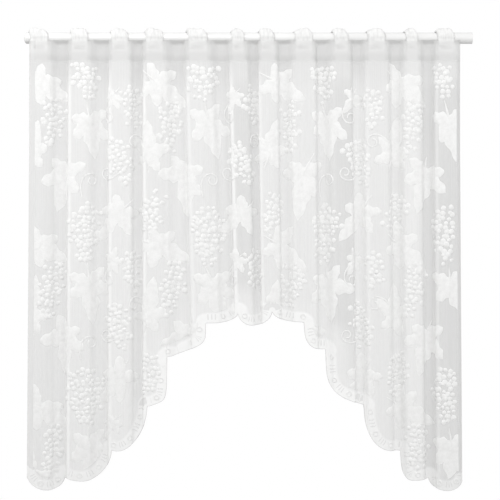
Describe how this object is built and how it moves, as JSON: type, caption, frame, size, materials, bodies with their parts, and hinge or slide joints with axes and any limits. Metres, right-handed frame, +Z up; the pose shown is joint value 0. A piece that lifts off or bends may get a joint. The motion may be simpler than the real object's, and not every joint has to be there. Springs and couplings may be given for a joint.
{
  "type": "lace curtain on a rod",
  "caption": "Tab-top lace curtain with an arched, scalloped hem, hanging in soft folds from a plain white rod.",
  "frame": {"origin": "on the rod's axis, at the middle of the rod's length", "axes": "+Z up, +X along the rod to the right as seen from the front, front of the cloth towards -Y"},
  "size_m": [1.1178, 0.0349, 1.1544],
  "materials": {
    "lace": "sheer white patterned net",
    "tab_lace": "doubled white net strip",
    "rod_paint": "satin white paint",
    "cap_plastic": "satin white plastic"
  },
  "bodies": {
    "root": {"lace_panel": "lace", "tab_01": "tab_lace", "tab_02": "tab_lace", "tab_03": "tab_lace", "tab_04": "tab_lace", "tab_05": "tab_lace", "tab_06": "tab_lace", "tab_07": "tab_lace", "tab_08": "tab_lace", "tab_09": "tab_lace", "tab_10": "tab_lace", "tab_11": "tab_lace", "tab_12": "tab_lace", "rod": "rod_paint", "rod_end_cap": "cap_plastic"}
  },
  "joints": []
}
